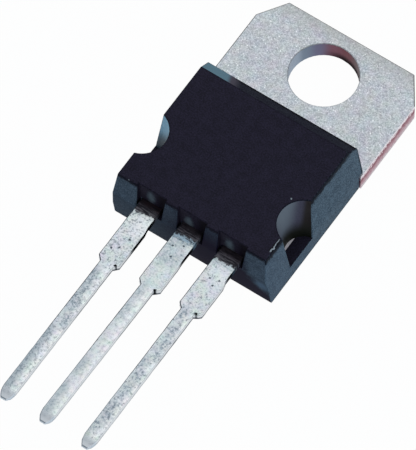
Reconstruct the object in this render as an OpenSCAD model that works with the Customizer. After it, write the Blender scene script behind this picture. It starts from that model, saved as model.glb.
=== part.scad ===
// Three-lead voltage regulator in a single-tab power package, lying on its back.
// Millimetres. The origin is the centre of the screw hole on the back face,
// +Y points to the tab's free end, the leads run to -Y and +Z is the front.

/* [Tab and heat spreader] */
// Width of the tab
tab_w = 10.12; // [9.6:0.02:10.4]
// Thickness of the tab and of the heat spreader
tab_t = 1.27; // [1.15:0.01:1.4]
// From the hole's centre to the tab's free end
tab_top = 2.7; // [2.5:0.05:3.1]
// Corner cut, measured across the tab
tab_cut_x = 1.08; // [0.6:0.02:1.6]
// Corner cut, measured along the tab
tab_cut_y = 1.6; // [0.8:0.05:2]
// Diameter of the screw hole
hole_d = 3.84; // [3.5:0.02:4]
// Width of the heat spreader inside the moulding
spreader_w = 8.4; // [7.6:0.05:8.9]
// From the hole's centre to the heat spreader's inner end
spreader_end = 10.5; // [10.2:0.05:10.8]

/* [Moulding] */
// Overall thickness, back face to front face
body_t = 4.48; // [4.3:0.02:4.7]
// Width of the front face
front_w = 9.32; // [8.9:0.02:9.6]
// From the hole's centre to the moulding, at the tab
body_start = 3.75; // [3.4:0.05:4]
// From the hole's centre to the lead end of the moulding
body_end = 12.81; // [12.6:0.01:13.1]
// Height of the bevel over the tab
bevel_h = 0.72; // [0.4:0.02:1.2]
// Length of the bevel along the moulding
bevel_run = 0.8; // [0.4:0.05:1.4]
// Lean of the steep face under the bevel
top_lean = 0.2; // [0:0.02:0.3]
// Lean of the lead end, in front of the leads
end_lean_front = 0.27; // [0.1:0.01:0.4]
// Lean of the lead end, behind the leads
end_lean_back = 0.38; // [0.1:0.01:0.6]
// How far the tab's edge stands out past the moulding's side
tab_proud = 0.08; // [0.02:0.01:0.15]

/* [Side notches] */
// Radius of a notch at the front face
notch_r_front = 1.44; // [1.2:0.02:1.6]
// Radius of a notch at its floor
notch_r_floor = 1.05; // [0.9:0.01:1.15]
// From the hole's centre line to a notch's axis
notch_x = 5.1; // [5:0.02:5.3]
// From the hole's centre to a notch's axis, along the part
notch_y = 9.62; // [9.4:0.02:9.8]

/* [Lead pockets] */
// Width of a pocket at the leads
pocket_w = 1.55; // [1.45:0.01:1.7]
// How much wider a pocket is on each side at the front face
pocket_flare = 0.12; // [0.05:0.01:0.2]
// From the lead end to a pocket's back wall, at the leads
pocket_depth = 0.36; // [0.3:0.01:0.45]
// Lean of a pocket's back wall
pocket_lean = 0.05; // [0.02:0.01:0.08]

/* [Leads] */
// Distance between lead centres
pitch = 2.54; // [2.54:0.01:2.54]
// Thickness of a lead
lead_t = 0.5; // [0.42:0.01:0.6]
// Back of the leads above the back face
lead_z = 2.7; // [2.4:0.02:2.72]
// Width of a lead's narrow part
lead_w = 0.78; // [0.61:0.01:0.88]
// Width of a lead's wide part
lead_wide_w = 1.32; // [1.14:0.01:1.4]
// From the hole's centre to where a lead starts to narrow
lead_shoulder = 16.45; // [16:0.05:16.8]
// Length over which a lead narrows
shoulder_run = 0.27; // [0.1:0.01:0.6]
// From the hole's centre to the leads' tips
lead_end = 26.2; // [25.5:0.05:27]
// Length of the pointed tip
tip_len = 0.65; // [0.4:0.05:1]
// Width of the flat end of a tip
tip_w = 0.34; // [0.2:0.02:0.5]
// Thickness of the flat end of a tip
tip_t = 0.24; // [0.15:0.01:0.35]

/* [Inside the moulding] */
// Width of the bonding plate on an outer lead
plate_w = 2.5; // [2:0.05:2.7]
// Length of the bonding plate on an outer lead
plate_l = 1.1; // [0.9:0.05:1.2]
// From the hole's centre to the near edge of the bonding plates
plate_y = 11; // [10.95:0.05:11.1]
// Width of the chip
chip_w = 2.2; // [1.8:0.05:2.6]
// Length of the chip
chip_l = 2.8; // [2.2:0.05:3.2]
// Thickness of the chip
chip_t = 0.3; // [0.2:0.01:0.4]
// From the hole's centre to the chip's centre
chip_y = 7.4; // [7.2:0.05:7.6]
// Thickness of the solder under the chip
solder_t = 0.05; // [0.03:0.01:0.1]
// How far the solder shows past the chip's edges
solder_rim = 0.12; // [0.05:0.01:0.2]
// Diameter of a bond wire
wire_d = 0.25; // [0.15:0.01:0.3]
// Radius of an outer bond wire's loop
wire_loop_r = 2.1; // [2.05:0.01:2.2]
// Radius of the ground wire's loop
ground_loop_r = 1.05; // [0.95:0.01:1.15]
// Diameter of a bond's foot
foot_d = 0.42; // [0.35:0.01:0.5]
// Height of a bond's foot
foot_h = 0.12; // [0.08:0.01:0.15]

/* [Hidden] */
$fn = 96;
far = 40;
slack = 1;
base_w = tab_w - 2 * tab_proud;
lead_front = lead_z + lead_t;
tip_mid = lead_z + lead_t / 2;
chip_z = tab_t + solder_t;
chip_top = chip_z + chip_t;
// The outer wires run from the chip to the middle of the bonding plates.
pad_x = chip_w / 2 - 0.4;
pad_y = chip_y + chip_l / 2 - 0.4;
plate_mid_x = pitch;
plate_mid_y = plate_y + plate_l / 2;
wire_span = sqrt(pow(plate_mid_x - pad_x, 2) + pow(plate_mid_y - pad_y, 2));
wire_turn = atan2(plate_mid_y - pad_y, plate_mid_x - pad_x);
wire_rise = lead_front - chip_top;
wire_chord = sqrt(pow(wire_span, 2) + pow(wire_rise, 2));
wire_drop = sqrt(pow(wire_loop_r, 2) - pow(wire_chord / 2, 2));
wire_cx = wire_span / 2 + wire_drop * wire_rise / wire_chord;
wire_cz = wire_rise / 2 - wire_drop * wire_span / wire_chord;
// The ground wire runs from the chip to the heat spreader.
ground_y = chip_y - chip_l / 2 + 0.4;
ground_span = 1.7;
ground_fall = chip_top - tab_t;
ground_chord = sqrt(pow(ground_span, 2) + pow(ground_fall, 2));
ground_drop = sqrt(pow(ground_loop_r, 2) - pow(ground_chord / 2, 2));
ground_cx = ground_span / 2 - ground_drop * ground_fall / ground_chord;
ground_cz = -ground_fall / 2 - ground_drop * ground_span / ground_chord;
bridge_top_y = spreader_end + 1.05;
bridge_back_y = spreader_end + 1.35;

// Length and height drawing, pushed out along X
module side_prism(w) {
  rotate([90, 0, 90])
    linear_extrude(height = w, center = true)
      children();
}

// Width and height drawing, pushed out towards the leads from y
module front_prism(y, l) {
  translate([0, y, 0])
    rotate([90, 0, 0])
      linear_extrude(height = l)
        children();
}

// The moulding before its pockets, notches and inserts
module block() {
  intersection() {
    side_prism(far)
      polygon([
        [-(body_end - end_lean_back), 0],
        [-body_start, 0],
        [-body_start, tab_t],
        [-(body_start + top_lean), body_t - bevel_h],
        [-(body_start + top_lean + bevel_run), body_t],
        [-(body_end - end_lean_front), body_t],
        [-body_end, lead_z]
      ]);
    front_prism(0, far)
      polygon([
        [-base_w / 2, 0],
        [base_w / 2, 0],
        [base_w / 2, tab_t],
        [front_w / 2, body_t],
        [-front_w / 2, body_t],
        [-base_w / 2, tab_t]
      ]);
  }
}

// Room in front of a lead where it leaves the moulding
module pocket(x) {
  top = body_t + slack;
  grow = slack / (body_t - lead_z);
  wall = body_end - pocket_depth;
  translate([x, 0, 0])
    intersection() {
      side_prism(pocket_w * 2)
        polygon([
          [-(wall - pocket_lean * (1 + grow)), top],
          [-wall, lead_z],
          [-(body_end + slack), lead_z],
          [-(body_end + slack), top]
        ]);
      front_prism(0, far)
        polygon([
          [-pocket_w / 2, lead_z],
          [pocket_w / 2, lead_z],
          [pocket_w / 2 + pocket_flare * (1 + grow), top],
          [-pocket_w / 2 - pocket_flare * (1 + grow), top]
        ]);
    }
}

// Half-round notch in a side, down to the plane of the heat spreader
module notch(side) {
  depth = body_t - tab_t;
  grow = (notch_r_front - notch_r_floor) / depth;
  translate([side * notch_x, -notch_y, tab_t])
    cylinder(h = depth + slack, r1 = notch_r_floor, r2 = notch_r_front + grow * slack);
}

// Outline of the tab, and of the narrower heat spreader that the moulding covers
module tab_outline() {
  shoulder = body_start + 0.35;
  polygon([
    [-tab_w / 2 + tab_cut_x, tab_top],
    [tab_w / 2 - tab_cut_x, tab_top],
    [tab_w / 2, tab_top - tab_cut_y],
    [tab_w / 2, -shoulder],
    [spreader_w / 2, -shoulder],
    [spreader_w / 2, -spreader_end],
    [-spreader_w / 2, -spreader_end],
    [-spreader_w / 2, -shoulder],
    [-tab_w / 2, -shoulder],
    [-tab_w / 2, tab_top - tab_cut_y]
  ]);
}

// Outline of a lead seen from the front, from start to its tip
module lead_outline(start) {
  w = lead_w / 2;
  wide = lead_wide_w / 2;
  near_tip = lead_end - tip_len * 0.4;
  near_w = (lead_w * 0.7 + tip_w * 0.3) / 2;
  polygon([
    [-wide, -start],
    [-wide, -lead_shoulder],
    [-w, -(lead_shoulder + shoulder_run)],
    [-w, -(lead_end - tip_len)],
    [-near_w, -near_tip],
    [-tip_w / 2, -lead_end],
    [tip_w / 2, -lead_end],
    [near_w, -near_tip],
    [w, -(lead_end - tip_len)],
    [w, -(lead_shoulder + shoulder_run)],
    [wide, -lead_shoulder],
    [wide, -start]
  ]);
}

// Edge-on profile of a lead with its tip thinned from both faces
module lead_profile(start) {
  polygon([
    [-start, lead_z],
    [-start, lead_front],
    [-(lead_end - tip_len * 0.7), lead_front],
    [-lead_end, tip_mid + tip_t / 2],
    [-lead_end, tip_mid - tip_t / 2],
    [-(lead_end - tip_len * 0.7), lead_z]
  ]);
}

// One lead with its tip
module lead(start) {
  intersection() {
    translate([0, 0, lead_z - slack])
      linear_extrude(height = lead_t + 2 * slack)
        lead_outline(start);
    side_prism(lead_wide_w * 2)
      lead_profile(start);
  }
}

// Outer lead: the lead, its neck and the bonding plate inside the moulding
module outer_lead(side) {
  translate([side * pitch, 0, 0])
    union() {
      lead(plate_mid_y);
      translate([-plate_w / 2, -(plate_y + plate_l), lead_z])
        cube([plate_w, plate_l, lead_t]);
    }
}

// Tab, heat spreader and centre lead, stamped from one stepped strip
module heat_tab_shape() {
  difference() {
    linear_extrude(height = tab_t)
      tab_outline();
    translate([0, 0, -slack])
      cylinder(h = tab_t + 2 * slack, d = hole_d);
  }
  side_prism(lead_wide_w)
    polygon([
      [-(spreader_end - 0.3), tab_t - lead_t],
      [-(spreader_end + 0.25), tab_t - lead_t],
      [-bridge_back_y, lead_z],
      [-(bridge_back_y + 0.3), lead_z],
      [-(bridge_back_y + 0.3), lead_front],
      [-bridge_top_y, lead_front],
      [-spreader_end, tab_t],
      [-(spreader_end - 0.3), tab_t]
    ]);
  lead(bridge_top_y + 0.2);
}

// Chip with its bonding side up
module chip_shape() {
  translate([-chip_w / 2, -chip_y - chip_l / 2, chip_z])
    cube([chip_w, chip_l, chip_t]);
}

// Layer of solder between the chip and the heat spreader
module chip_solder_shape() {
  w = chip_w + 2 * solder_rim;
  l = chip_l + 2 * solder_rim;
  translate([-w / 2, -chip_y - l / 2, tab_t])
    cube([w, l, solder_t]);
}

// Wire loop standing in the XZ plane, from the origin to a foot at x and z
module wire_loop(r, cx, cz, x, z) {
  difference() {
    translate([cx, 0, cz])
      rotate([90, 0, 0])
        rotate_extrude()
          translate([r, 0, 0])
            circle(d = wire_d);
    translate([-far / 2, -slack, min(0, z) - far])
      cube([far, 2 * slack, far]);
    translate([z > 0 ? cx : cx - far, -slack, max(0, z) - far])
      cube([far, 2 * slack, far]);
  }
  cylinder(h = foot_h, d = foot_d);
  translate([x, 0, z])
    cylinder(h = foot_h, d = foot_d);
}

// Wire from the chip to an outer lead's bonding plate
module outer_wire(side) {
  translate([side * pad_x, -pad_y, chip_top])
    rotate([0, 0, side > 0 ? -wire_turn : 180 + wire_turn])
      wire_loop(wire_loop_r, wire_cx, wire_cz, wire_span, wire_rise);
}

// Wire from the chip down to the heat spreader
module ground_wire_shape() {
  translate([0, -ground_y, chip_top])
    rotate([0, 0, 90])
      wire_loop(ground_loop_r, ground_cx, ground_cz, ground_span, -ground_fall);
}

module body() {
  color([0.13, 0.13, 0.16])
    difference() {
      block();
      for (side = [-1, 0, 1]) pocket(side * pitch);
      for (side = [-1, 1]) notch(side);
      heat_tab_shape();
      outer_lead(-1);
      outer_lead(1);
      chip_shape();
      chip_solder_shape();
      outer_wire(-1);
      outer_wire(1);
      ground_wire_shape();
    }
}

module heat_tab() {
  color([0.72, 0.73, 0.75])
    heat_tab_shape();
}

module input_lead() {
  color([0.8, 0.81, 0.82])
    outer_lead(-1);
}

module output_lead() {
  color([0.8, 0.81, 0.82])
    outer_lead(1);
}

module chip() {
  color([0.35, 0.36, 0.4])
    chip_shape();
}

module chip_solder() {
  color([0.6, 0.6, 0.62])
    chip_solder_shape();
}

module input_wire() {
  color([0.85, 0.85, 0.86])
    outer_wire(-1);
}

module output_wire() {
  color([0.85, 0.85, 0.86])
    outer_wire(1);
}

module ground_wire() {
  color([0.85, 0.85, 0.86])
    ground_wire_shape();
}

body();
heat_tab();
input_lead();
output_lead();
chip();
chip_solder();
input_wire();
output_wire();
ground_wire();
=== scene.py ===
import math

import bmesh
import bpy
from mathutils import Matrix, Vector
from mathutils.bvhtree import BVHTree


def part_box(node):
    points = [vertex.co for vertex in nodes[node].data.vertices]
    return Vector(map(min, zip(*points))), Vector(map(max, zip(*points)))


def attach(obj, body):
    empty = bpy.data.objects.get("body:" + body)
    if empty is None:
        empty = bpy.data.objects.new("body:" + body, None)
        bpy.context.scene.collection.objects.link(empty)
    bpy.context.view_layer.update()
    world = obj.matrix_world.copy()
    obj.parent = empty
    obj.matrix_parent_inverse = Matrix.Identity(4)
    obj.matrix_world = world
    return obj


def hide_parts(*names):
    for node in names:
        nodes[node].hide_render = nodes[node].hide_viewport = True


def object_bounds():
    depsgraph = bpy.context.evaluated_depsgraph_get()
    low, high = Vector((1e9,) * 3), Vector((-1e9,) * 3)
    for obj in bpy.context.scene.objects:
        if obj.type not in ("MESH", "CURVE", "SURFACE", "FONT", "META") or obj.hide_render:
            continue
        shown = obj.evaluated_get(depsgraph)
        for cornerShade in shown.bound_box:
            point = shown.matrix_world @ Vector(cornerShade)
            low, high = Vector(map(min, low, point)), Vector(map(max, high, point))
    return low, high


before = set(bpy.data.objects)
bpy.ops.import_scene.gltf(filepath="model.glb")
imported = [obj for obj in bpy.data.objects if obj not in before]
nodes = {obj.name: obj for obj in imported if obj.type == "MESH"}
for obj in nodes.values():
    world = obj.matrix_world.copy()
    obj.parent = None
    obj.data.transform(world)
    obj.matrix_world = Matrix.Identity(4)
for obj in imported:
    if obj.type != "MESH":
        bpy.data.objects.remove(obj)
cadLow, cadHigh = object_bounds()
scene = bpy.context.scene
mm = 0.001
scene.view_settings.view_transform = "Standard"


def linear(hexColour):
    # sRGB hex to the linear RGBA that Blender's sockets take
    parts = [int(hexColour[i:i + 2], 16) / 255 for i in (1, 3, 5)]
    return tuple(c / 12.92 if c <= 0.04045 else ((c + 0.055) / 1.055) ** 2.4 for c in parts) + (1.0,)


def addNode(tree, kind, settings=None, links=None):
    # settings: the node's properties, values for its inputs by name or number, and From or To for both ends of a
    # range; links: the node or output that feeds each input
    node = tree.nodes.new("ShaderNode" + kind)

    def socket(key):
        if isinstance(key, int):
            return node.inputs[key]
        return next(s for s in node.inputs if s.enabled and s.name == key)

    for key, value in (settings or {}).items():
        if key in ("From", "To"):
            socket(key + " Min").default_value, socket(key + " Max").default_value = value
        elif isinstance(key, str) and hasattr(node, key):
            setattr(node, key, value)
        else:
            socket(key).default_value = linear(value) if isinstance(value, str) else value
    for key, source in (links or {}).items():
        if isinstance(source, bpy.types.Node):
            source = next(s for s in source.outputs if s.enabled)
        tree.links.new(source, socket(key))
    return node


# Settings that many nodes share
paint = {"data_type": "RGBA"}  # a mix of two colours
smooth = {"interpolation_type": "SMOOTHSTEP"}  # a range that makes a soft-edged mask; "From" is none, then full
product = {"operation": "MULTIPLY"}
larger = {"operation": "MAXIMUM"}
scaledSum = {"operation": "MULTIPLY_ADD"}  # input 0 times input 1, plus input 2


def newMaterial(name):
    material = bpy.data.materials.new(name)
    material.use_nodes = True
    material.node_tree.nodes.clear()
    return material, material.node_tree


# Camera: a long lens above the right-hand lead, looking down on the front of the part

cameraPlan = {"azimuth": 33.93, "elevation": 61.06, "distance": 454.5 * mm, "lens": 693.6, "sensor": 36,
              "aimOffset": (0.21 * mm, 0.44 * mm, -0.24 * mm),  # from the middle of the part's box
              "clip": (0.02, 20)}


def placeCamera():
    a, e = math.radians(cameraPlan["azimuth"]), math.radians(cameraPlan["elevation"])
    back = Vector((math.sin(a) * math.cos(e), -math.cos(a) * math.cos(e), math.sin(e)))
    aim = (cadLow + cadHigh) / 2 + Vector(cameraPlan["aimOffset"])
    bpy.ops.object.camera_add(location=aim + back * cameraPlan["distance"])
    camera = bpy.context.object
    camera.rotation_mode = "QUATERNION"
    camera.rotation_quaternion = (-back).to_track_quat("-Z", "Y")
    camera.data.lens, camera.data.sensor_width = cameraPlan["lens"], cameraPlan["sensor"]
    camera.data.clip_start, camera.data.clip_end = cameraPlan["clip"]
    scene.camera = camera


placeCamera()
print("camera placed")


# Studio: pale blue paper that the camera sees as white, a pale room and two soft boxes

studioPlan = {"floorSide": 3.0, "floorGap": 0.01 * mm, "floor": "#bfdcf0", "floorWhite": 0.98,
              "floorGlossWhite": 0.75, "room": "#eef4fa", "roomLevel": 0.5, "roomWhite": 1.0, "roomGlossWhite": 0.4}
softBoxes = {
    "boxOverBack": {"from": (-0.3, 0.42, 0.62), "side": 0.55, "level": 1.15, "colour": "#ffffff"},
    "boxRight": {"from": (0.6, -0.1, 0.35), "side": 0.4, "level": 1.2, "colour": "#e4f0fa"},
}


def whiteShare(tree, cameraShare, glossShare):
    # How much white stands in for a background: one share for what the camera sees, one for reflections
    path = addNode(tree, "LightPath").outputs
    seen = addNode(tree, "Math", {**product, 1: cameraShare}, {0: path["Is Camera Ray"]})
    gloss = addNode(tree, "Math", larger, {0: path["Is Glossy Ray"], 1: path["Is Transmission Ray"]})
    return addNode(tree, "Math", {**scaledSum, 1: glossShare}, {0: gloss, 2: seen})


def makeFloor():
    material, tree = newMaterial("paper_floor")
    paper = addNode(tree, "BsdfDiffuse", {"Color": studioPlan["floor"]})
    white = addNode(tree, "Emission", {"Color": "#ffffff", "Strength": 1.0})
    share = whiteShare(tree, studioPlan["floorWhite"], studioPlan["floorGlossWhite"])
    both = addNode(tree, "MixShader", links={0: share, 1: paper, 2: white})
    addNode(tree, "OutputMaterial", links={"Surface": both})
    bpy.ops.object.select_all(action="DESELECT")
    bpy.ops.mesh.primitive_plane_add(size=studioPlan["floorSide"], location=(0, 0, cadLow.z - studioPlan["floorGap"]))
    floor = bpy.context.object
    floor.name = "paper_floor"
    floor.data.materials.append(material)


def makeRoom():
    world = bpy.data.worlds.new("pale_room")
    scene.world = world
    world.use_nodes = True
    tree = world.node_tree
    tree.nodes.clear()
    room = addNode(tree, "Background", {"Color": studioPlan["room"], "Strength": studioPlan["roomLevel"]})
    white = addNode(tree, "Background", {"Color": "#ffffff", "Strength": 1.0})
    share = whiteShare(tree, studioPlan["roomWhite"], studioPlan["roomGlossWhite"])
    both = addNode(tree, "MixShader", links={0: share, 1: room, 2: white})
    addNode(tree, "OutputWorld", links={"Surface": both})


def makeSoftBox(name, box):
    # level is the brightness of the box's face: 1 is as bright as white paper in plain light
    place = Vector(box["from"])
    bpy.ops.object.light_add(type="AREA", location=place)
    lamp = bpy.context.object
    lamp.name = name
    lamp.data.shape = "SQUARE"
    lamp.data.size = box["side"]
    lamp.data.energy = box["level"] * math.pi * box["side"] ** 2
    lamp.data.color = linear(box["colour"])[:3]
    lamp.rotation_mode = "QUATERNION"
    lamp.rotation_quaternion = (-place).to_track_quat("-Z", "Y")


makeFloor()
makeRoom()
for name, box in softBoxes.items():
    makeSoftBox(name, box)
print("studio lit")


# Finishes: every pattern is in millimetres, on Object coordinates scaled by 1000

ragged = {"Detail": 3.0, "Roughness": 0.7}  # a noise for torn edges
leadPitch = 2.54
acrossLead = {"operation": "WRAP", 1: leadPitch / 2, 2: -leadPitch / 2}  # X becomes the place across each lead


def inMillimetres(tree):
    place = addNode(tree, "TexCoord")
    where = addNode(tree, "VectorMath", {"operation": "SCALE", "Scale": 1 / mm}, {0: place.outputs["Object"]})
    return where, addNode(tree, "SeparateXYZ", links={0: where}).outputs


def spotsAt(tree, where, spots, radius, soft=0.4):
    # Ragged spots on the named places; soft is the part of the radius over which they fade
    shake = 0.12
    rough = addNode(tree, "TexNoise", {"Scale": 12.0, "Detail": 2.0}, {"Vector": where})
    fade = (radius * (1 + soft) + shake / 2, radius * (1 - soft) + shake / 2)
    mask = None
    for x, y in spots:
        flat = addNode(tree, "VectorMath", {**scaledSum, 1: (1, 1, 0), 2: (-x, -y, 0)}, {0: where})
        away = addNode(tree, "VectorMath", {"operation": "LENGTH"}, {0: flat}).outputs["Value"]
        uneven = addNode(tree, "Math", {**scaledSum, 1: shake}, {0: rough, 2: away})
        spot = addNode(tree, "MapRange", {**smooth, "From": fade}, {"Value": uneven})
        mask = spot if mask is None else addNode(tree, "Math", larger, {0: mask, 1: spot})
    return mask


def paintLayer(tree, colour, layer, along):
    # One colour over another: a layer is its shade, the values of along where it starts and is full, and its strength
    shade, ends, strength = layer
    share = addNode(tree, "MapRange", {**smooth, "From": ends, "To Max": strength}, {"Value": along})
    return addNode(tree, "Mix", {**paint, "B": shade}, {"Factor": share, "A": colour})


# Epoxy moulding compound, transfer moulded: silica-filled and dyed black. The filler's grains are 0.02 to 0.08 mm;
# drawn at 0.08 so that they show. The front comes from a spark-eroded cavity and is matt, so it looks nearly black;
# the drafted walls are drawn smooth as the part leaves the cavity. Walls, ends and notches get a far lighter
# slate-blue
# base colour than the front: painted light, standing in for the pale room's sheen on the same black epoxy.
epoxyPlan = {
    "grain": {"Scale": 1 / 0.08, "Detail": 3.0, "Roughness": 0.75}, "bump": {"Strength": 0.25, "Distance": 0.01 * mm},
    "cloud": {"Scale": 1 / 0.5, "Detail": 2.0}, "cloudShare": 0.2, "paleFrom": (0.47, 0.73),
    "torn": {**ragged, "Scale": 1 / 0.14},
    "face": {"colour": "#151320", "pale": "#2a273a", "roughness": 0.8, "gloss": 0.16, "chip": "#94a0a8",
             "chips": ((3.71, -8.72), (4.72, -8.55), (-3.96, -12.55), (-0.31, -12.53), (4.52, -12.6)),
             "chipRadius": 0.045, "scratchAt": 4.56, "wobble": {"Scale": 1 / 0.2, "Detail": 2.0}, "wander": 0.25,
             "scratchEnds": ((-12.02, -11.92), (-11.03, -11.13)),
             "scratch": (("#0b0b12", (0.13, 0.09)), ("#aab6c0", (0.05, 0.01)))},
    "edge": {"colour": "#14131d", "pale": "#282535", "roughness": 0.7, "gloss": 0.05, "scuff": "#3c4a55",
             "right": (4.3, 4.6), "torn": {**ragged, "Scale": 1 / 0.16}, "worn": (0.5, 0.6)},
    # painted light: the wall's slate-blue base is far lighter than the front's; painted shade at its foot and by the
    # tab
    "wall": {"colour": "#465460", "pale": "#728491", "roughness": 0.5, "gloss": 0.02, "border": "#131a25",
             "ragged": 0.9, "top": (4.45, 4.7), "foot": (0.58, 0.46),
             "backWay": (0, 1, 0.053), "raggedBack": 0.4, "back": (-3.66, -3.58), "backShare": 0.8,
             "low": ("#4a5c74", (-8.0, -9.5), 0.25)},
    # painted shade at the foot, and a painted highlight at the left end
    "step": {"colour": "#1b1a26", "pale": "#34363f", "roughness": 0.7, "gloss": 0.02, "ragged": 0.5, "slant": -0.5,
             "foot": ("#07080d", (4.25, 4.05), 1.0), "pinkHighlight": ("#57525c", (-4.4, -5.0), 1.0),
             "tealHighlight": ("#6d8c9a", (-5.0, -5.35), 1.0)},
    # painted light: a lighter base than the front's, a highlight deeper inside, shade at the opening, foot and near
    # end, and a pale blue reflection on the left one
    "notch": {"colour": "#403e52", "pale": "#4c4a5e", "roughness": 0.5, "gloss": 0.2,
              "inside": ("#78828b", (4.2, 3.75), 0.85), "mouthShade": ("#120a0e", (4.2, 4.5), 1.0),
              "foot": ("#12150f", (2.9, 1.7), 1.0), "skyReflection": ("#5c8296", "#97c4da"), "skyReflectionFrom": (2.2, 3.3),
              "nearWay": (-0.49, 0.73, 0.48), "near": ("#33434f", (-2.35, -3.1), 1.0)},
    # painted light: a lighter base than the front's, shade below the parting line and between the leads, and a
    # reflection low on the right-hand block
    "end": {"colour": "#3e4a56", "pale": "#5d6b7a", "roughness": 0.6, "gloss": 0.03,
            "parting": 2.7, "under": "#1d222c", "underFrom": (2.7, 2.65), "underShare": 0.3,
            "reflectedLight": "#637689", "reflectedLightAt": ((4.45, 1.85),), "reflectedLightRadius": 0.4,
            "shadeBetweenLeads": "#1a152c", "slant": 0.8, "wave": 1.4, "shadeLeft": (-3.4, 0.7), "shadeRight": (6.7, 5.7),
            "thickFrom": (4.3, 3.1), "thick": (0.6, 1.0), "ragged": 0.5, "border": ("#1c1b27", (4.45, 4.65), 1.0)},
    # painted light: a highlight behind each lead, and shade right of each lead and beside the first
    "pocket": {"colour": "#1a1726", "pale": "#2c2736", "roughness": 0.7, "gloss": 0.1,
               "litPatch": "#5c6770", "litPatches": ((-2.62, 3.74), (-0.24, 3.52), (2.32, 3.62)), "litPatchRadius": 0.21,
               "squeeze": 0.5, "shake": 0.3, "rough": {"Scale": 1 / 0.25, "Detail": 4.0, "Roughness": 0.65},
               "right": ("#0a0612", (0.1, 0.65), 1.0),
               "cornerShade": "#030407", "cornerX": (-3.1, -3.25), "cornerY": (-12.64, -12.7)},
}


def chippedFace(tree, where, place, colour):
    # white chips, and a white scratch by the right-hand notch with a painted shadow along its sides
    plan = epoxyPlan["face"]
    wobble = addNode(tree, "TexNoise", plan["wobble"], {"Vector": where})
    away = addNode(tree, "Math", {**scaledSum, 1: plan["wander"]}, {0: wobble, 2: place["X"]})
    away = addNode(tree, "Math", {"operation": "SUBTRACT", 1: plan["scratchAt"] + plan["wander"] / 2}, {0: away})
    away = addNode(tree, "Math", {"operation": "ABSOLUTE"}, {0: away})
    after, before = (addNode(tree, "MapRange", {**smooth, "From": ends}, {"Value": place["Y"]})
                     for ends in plan["scratchEnds"])
    length = addNode(tree, "Math", product, {0: after, 1: before})
    # the dark band along the scratch is a painted shadow
    for shade, width in plan["scratch"]:
        inside = addNode(tree, "MapRange", {"From": width}, {"Value": away})
        inside = addNode(tree, "Math", product, {0: inside, 1: length})
        colour = addNode(tree, "Mix", {**paint, "B": shade}, {"Factor": inside, "A": colour})
    chips = spotsAt(tree, where, plan["chips"], plan["chipRadius"])
    return addNode(tree, "Mix", {**paint, "B": plan["chip"]}, {"Factor": chips, "A": colour})


def wornEdge(tree, where, place, colour):
    # the right-hand front edge is scuffed pale in places
    plan = epoxyPlan["edge"]
    right = addNode(tree, "MapRange", {**smooth, "From": plan["right"]}, {"Value": place["X"]})
    rough = addNode(tree, "TexNoise", plan["torn"], {"Vector": where})
    scuff = addNode(tree, "MapRange", {**smooth, "From": plan["worn"]}, {"Value": rough})
    both = addNode(tree, "Math", product, {0: right, 1: scuff})
    colour = addNode(tree, "Mix", {**paint, "B": plan["scuff"]}, {"Factor": both, "A": colour})
    return chippedFace(tree, where, place, colour)


def raggedWall(tree, where, place, colour):
    # flash leaves a ragged dark border at the front edge; the thinner ragged bands at the foot and by the tab are
    # painted shade
    plan = epoxyPlan["wall"]
    rough = addNode(tree, "TexNoise", epoxyPlan["torn"], {"Vector": where})
    high = addNode(tree, "Math", {**scaledSum, 1: plan["ragged"]}, {0: rough, 2: place["Z"]})
    top, foot = (addNode(tree, "MapRange", {**smooth, "From": plan[end]}, {"Value": high}) for end in ("top", "foot"))
    border = addNode(tree, "Math", larger, {0: top, 1: foot})
    along = addNode(tree, "VectorMath", {"operation": "DOT_PRODUCT", 1: plan["backWay"]}, {0: where}).outputs["Value"]
    along = addNode(tree, "Math", {**scaledSum, 1: plan["raggedBack"]}, {0: rough, 2: along})
    back = addNode(tree, "MapRange", {**smooth, "From": plan["back"], "To Max": plan["backShare"]}, {"Value": along})
    border = addNode(tree, "Math", larger, {0: border, 1: back})
    colour = paintLayer(tree, colour, plan["low"], place["Y"])
    return addNode(tree, "Mix", {**paint, "B": plan["border"]}, {"Factor": border, "A": colour})


def highlightedStep(tree, where, place, colour):
    # painted shade, dark and fuzzy, at its foot; a painted highlight at its left end, pale teal with a dull pink edge
    plan = epoxyPlan["step"]
    rough = addNode(tree, "TexNoise", epoxyPlan["torn"], {"Vector": where})
    high = addNode(tree, "Math", {**scaledSum, 1: plan["ragged"]}, {0: rough, 2: place["Z"]})
    slanted = addNode(tree, "Math", {**scaledSum, 1: plan["slant"]}, {0: place["Z"], 2: place["X"]})
    for layer, along in (("foot", high), ("pinkHighlight", slanted), ("tealHighlight", slanted)):
        colour = paintLayer(tree, colour, plan[layer], along)
    return colour


def hollowNotch(tree, where, place, colour):
    # the ejector notch: a painted highlight deeper inside, painted shade at its opening and foot; the left one is
    # smooth and shows a painted pale blue reflection, with painted shade at its near end
    plan = epoxyPlan["notch"]
    for layer, axis in (("inside", "X"), ("mouthShade", "X"), ("foot", "Z")):
        colour = paintLayer(tree, colour, plan[layer], place[axis])
    left = addNode(tree, "Math", {"operation": "LESS_THAN", 1: 0.0}, {0: place["X"]})
    high = addNode(tree, "MapRange", {**smooth, "From": plan["skyReflectionFrom"]}, {"Value": place["Z"]})
    below, above = plan["skyReflection"]
    skyReflection = addNode(tree, "Mix", {**paint, "A": below, "B": above}, {"Factor": high})
    along = addNode(tree, "VectorMath", {"operation": "DOT_PRODUCT", 1: plan["nearWay"]}, {0: where}).outputs["Value"]
    skyReflection = paintLayer(tree, skyReflection, plan["near"], along)
    return addNode(tree, "Mix", paint, {"Factor": left, "A": colour, "B": skyReflection})


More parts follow.
